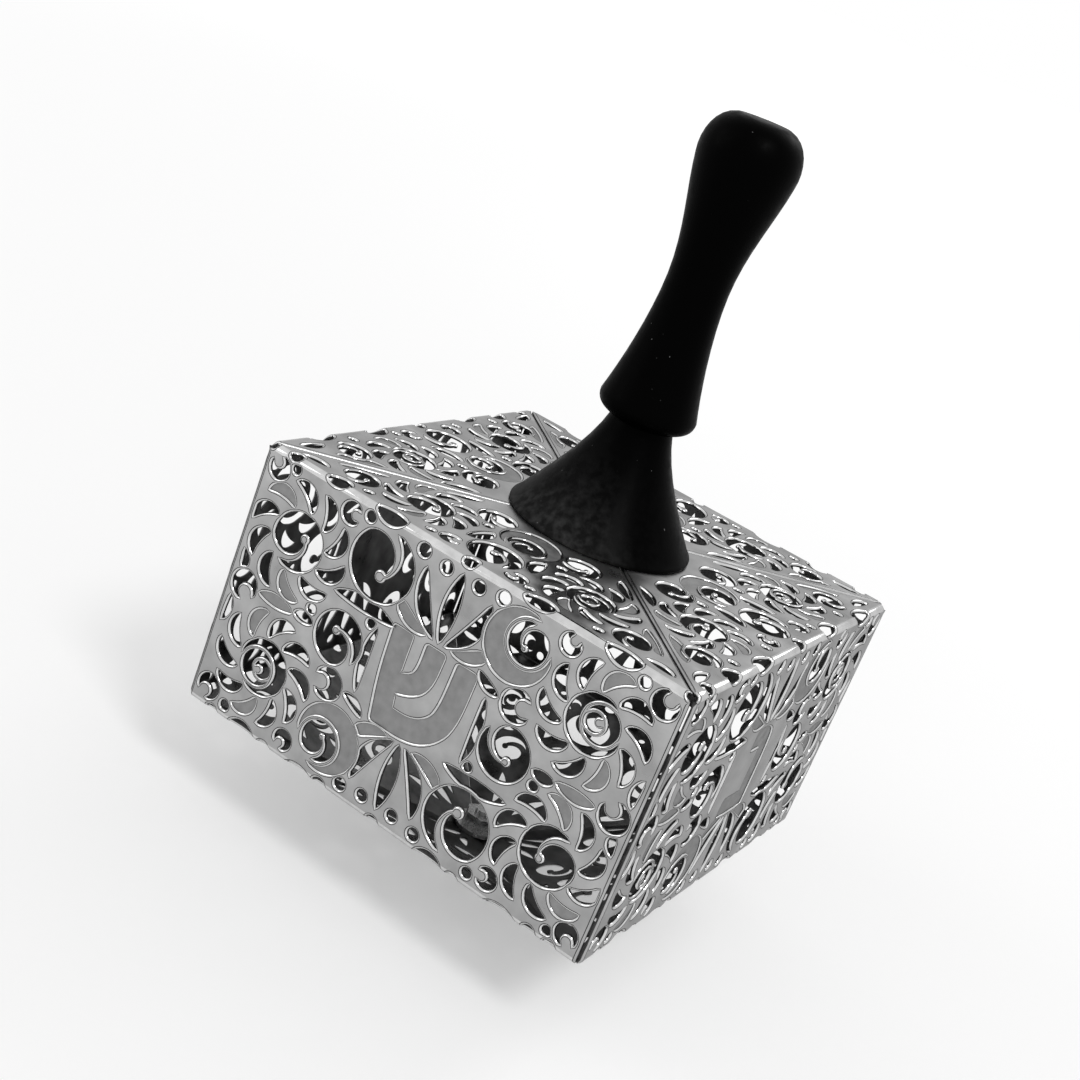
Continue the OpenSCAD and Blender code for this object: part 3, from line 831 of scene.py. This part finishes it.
# The floor glows least up to the first distance, where the lamps light it, and most past the second;
# the weaker glow near the object is also a painted shadow round it
GLOW_AT = (0.03, 1.2)
GLOW_NEAR, GLOW_FAR = 0.32, 0.74
# The room's strength for the light that it gives, and as the camera and the metal see it
ROOM_LIGHT, ROOM_SEEN = 0.55, 1


def white_floor():
    """A matte floor whose glow only the camera and the metal see, weaker near the object as a painted
    shadow.
    """
    material, tree, shader = new_material("floor_white", grey(FLOOR_ALBEDO), 0, FLOOR_ROUGH)
    shader.inputs["Specular IOR Level"].default_value = 0
    shader.inputs["Emission Color"].default_value = WHITE
    away = tree.nodes.new("ShaderNodeVectorMath")
    away.operation = "LENGTH"
    tree.links.new(tree.place(), away.inputs[0])
    # Glow that rises with the distance from the object: a painted shadow near it
    glow = tree.ranged(away.outputs["Value"], GLOW_NEAR, GLOW_FAR, GLOW_AT)
    tree.links.new(
        tree.combined("MULTIPLY", tree.seen_directly(), glow), shader.inputs["Emission Strength"])
    return material


def add_floor():
    """A level square just under the nose."""
    mesh = bpy.data.meshes.new("floor")
    ways = [(-1, -1), (1, -1), (1, 1), (-1, 1)]
    corners = [(FLOOR_HALF * x, FLOOR_HALF * y, -FLOOR_DROP) for x, y in ways]
    mesh.from_pydata(corners, [], [(0, 1, 2, 3)])
    mesh.materials.append(white_floor())
    floor = bpy.data.objects.new("floor", mesh)
    bpy.context.scene.collection.objects.link(floor)


def add_room():
    """A white world that lights the object more softly than it looks."""
    world = bpy.data.worlds.new("studio")
    bpy.context.scene.world = world
    tree = Tree(world)
    background = tree.nodes["Background"]
    background.inputs["Color"].default_value = WHITE
    tree.links.new(
        tree.ranged(tree.seen_directly(), ROOM_LIGHT, ROOM_SEEN, (0, 1)), background.inputs["Strength"])


# The lamps are aimed at a place on the axis, at this share of the body's top
AIM_SHARE = 0.7
LAMP_AIM = Vector((0, 0, BODY_TOP * AIM_SHARE))


def add_lamp(name, place, size, power):
    """A round lamp of a width in metres and a power in watts."""
    data = bpy.data.lights.new(name, "AREA")
    data.shape = "DISK"
    data.size = size
    data.energy = power
    lamp = bpy.data.objects.new(name, data)
    lamp.location = place
    lamp.rotation_mode = "QUATERNION"
    lamp.rotation_quaternion = (LAMP_AIM - Vector(place)).to_track_quat("-Z", "Y")
    bpy.context.scene.collection.objects.link(lamp)


add_floor()
add_room()
add_lamp("key", place=(0.35, -0.25, 0.55), size=0.18, power=1.7)
add_lamp("fill", place=(-0.50, -0.35, 0.30), size=0.40, power=0.7)
add_lamp("back", place=(0.10, 0.55, 0.45), size=0.30, power=0.8)

# Camera, fitted to the body's corners in the photograph
CAMERA_AT = Vector((78.61, -185.17, 114.35)) * MM
# Azimuth, elevation and roll in degrees
CAMERA_TURN = (24.78, 19.50, 21.59)
# Lens and sensor in millimetres, and how near and how far the camera sees
LENS = 56.97
SENSOR = 36
CAMERA_CLIP = (0.01, 20)


def add_camera():
    """A camera at the photograph's viewing angle."""
    azimuth, elevation, roll = map(math.radians, CAMERA_TURN)
    back = Vector((
        math.sin(azimuth) * math.cos(elevation), -math.cos(azimuth) * math.cos(elevation),
        math.sin(elevation)))
    data = bpy.data.cameras.new("camera")
    data.sensor_width = SENSOR
    data.lens = LENS
    data.clip_start, data.clip_end = CAMERA_CLIP
    camera = bpy.data.objects.new("camera", data)
    bpy.context.scene.collection.objects.link(camera)
    camera.rotation_mode = "QUATERNION"
    rolled = Matrix.Rotation(roll, 3, "Z").to_quaternion()
    camera.rotation_quaternion = (-back).to_track_quat("-Z", "Y") @ rolled
    camera.location = CAMERA_AT
    bpy.context.scene.camera = camera


add_camera()
view = bpy.context.scene.view_settings
view.view_transform = "Standard"
